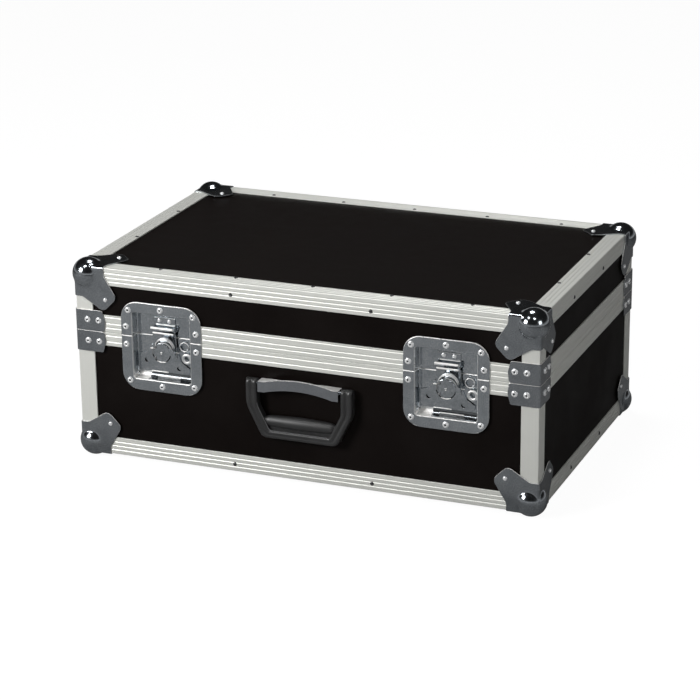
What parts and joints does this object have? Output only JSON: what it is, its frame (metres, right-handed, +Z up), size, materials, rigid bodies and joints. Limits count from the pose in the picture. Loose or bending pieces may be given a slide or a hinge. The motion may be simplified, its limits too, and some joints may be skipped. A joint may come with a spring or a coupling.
{
  "type": "foam-lined flight case",
  "caption": "Foam-lined flight case of laminated boards in aluminium angles, with a hinged lid, ball corners, recessed butterfly latches and a folding carrying handle.",
  "frame": {"origin": "on the surface that the case stands on, under the middle of its outer size", "axes": "+X to the right along the front, +Y from the front to the back, +Z up"},
  "size_m": [0.605, 0.4054, 0.2545],
  "materials": {
    "laminate": "satin",
    "aluminium": "satin",
    "steel": "gloss",
    "bright_steel": "gloss",
    "chrome": "polished",
    "black_plastic": "satin",
    "foam": "matte"
  },
  "bodies": {
    "base": {"base_front_panel": "laminate", "base_back_panel": "laminate", "base_left_panel": "laminate", "base_right_panel": "laminate", "base_edge_frame": "aluminium", "base_profile": "aluminium", "base_profile_front": "aluminium", "base_post_front_left": "aluminium", "base_post_front_right": "aluminium", "base_post_back_left": "aluminium", "base_post_back_right": "aluminium", "ball_corner_base_front_left": "steel", "ball_corner_base_front_right": "steel", "ball_corner_base_back_left": "steel", "ball_corner_base_back_right": "steel", "brace_base_front_left": "steel", "brace_base_front_right": "steel", "brace_base_back_left": "steel", "brace_base_back_right": "steel", "base_foam": "foam", "base_floor_panel": "laminate", "left_latch_base_dish": "steel", "left_hinge_base_leaf": "steel", "right_latch_base_dish": "steel", "right_hinge_base_leaf": "steel", "handle_bracket": "chrome"},
    "lid": {"lid_front_panel": "laminate", "lid_back_panel": "laminate", "lid_left_panel": "laminate", "lid_right_panel": "laminate", "lid_edge_frame": "aluminium", "lid_profile": "aluminium", "lid_profile_front": "aluminium", "lid_post_front_left": "aluminium", "lid_post_front_right": "aluminium", "lid_post_back_left": "aluminium", "lid_post_back_right": "aluminium", "ball_corner_lid_front_left": "steel", "ball_corner_lid_front_right": "steel", "ball_corner_lid_back_left": "steel", "ball_corner_lid_back_right": "steel", "brace_lid_front_left": "steel", "brace_lid_front_right": "steel", "brace_lid_back_left": "steel", "brace_lid_back_right": "steel", "lid_foam": "foam", "lid_top_panel": "laminate", "left_latch_lid_dish": "steel", "left_hinge_lid_leaf": "steel", "left_latch_strike": "bright_steel", "right_latch_lid_dish": "steel", "right_hinge_lid_leaf": "steel", "right_latch_strike": "bright_steel"},
    "handle": {"handle_grip": "black_plastic"},
    "left_wing": {"left_latch_wing": "steel"},
    "left_hook": {"left_latch_hook": "bright_steel"},
    "left_cam": {"left_latch_cam": "bright_steel"},
    "right_wing": {"right_latch_wing": "steel"},
    "right_hook": {"right_latch_hook": "bright_steel"},
    "right_cam": {"right_latch_cam": "bright_steel"}
  },
  "joints": [
    {"name": "lid_hinge", "type": "hinge", "parent": "base", "child": "lid", "pos_m": [0, 0.1953, 0.1655], "axis": [-1, 0, 0], "range_deg": [0, 100]},
    {"name": "handle_swing", "type": "hinge", "parent": "base", "child": "handle", "pos_m": [0, -0.196, 0.1272], "axis": [-1, 0, 0], "range_deg": [0, 90]},
    {"name": "left_cam_turn", "type": "hinge", "parent": "base", "child": "left_cam", "pos_m": [-0.182, -0.191, 0.1476], "axis": [0, -1, 0], "range_deg": [0, 180]},
    {"name": "left_wing_fold", "type": "hinge", "parent": "left_cam", "child": "left_wing", "pos_m": [-0.1906, -0.19125, 0.1476], "axis": [0, 0, -1], "range_deg": [0, 90]},
    {"name": "left_hook_lift", "type": "slide", "parent": "base", "child": "left_hook", "axis": [0, -0.5736, 0.8192], "range_m": [0, 0.009]},
    {"name": "right_cam_turn", "type": "hinge", "parent": "base", "child": "right_cam", "pos_m": [0.182, -0.191, 0.1476], "axis": [0, -1, 0], "range_deg": [0, 180]},
    {"name": "right_wing_fold", "type": "hinge", "parent": "right_cam", "child": "right_wing", "pos_m": [0.1734, -0.19125, 0.1476], "axis": [0, 0, -1], "range_deg": [0, 90]},
    {"name": "right_hook_lift", "type": "slide", "parent": "base", "child": "right_hook", "axis": [0, -0.5736, 0.8192], "range_m": [0, 0.009]}
  ],
  "couplings": [
    {"joint": "left_hook_lift", "follows": "left_cam_turn", "m_per_rad": 0.00286},
    {"joint": "right_hook_lift", "follows": "right_cam_turn", "m_per_rad": 0.00286}
  ]
}
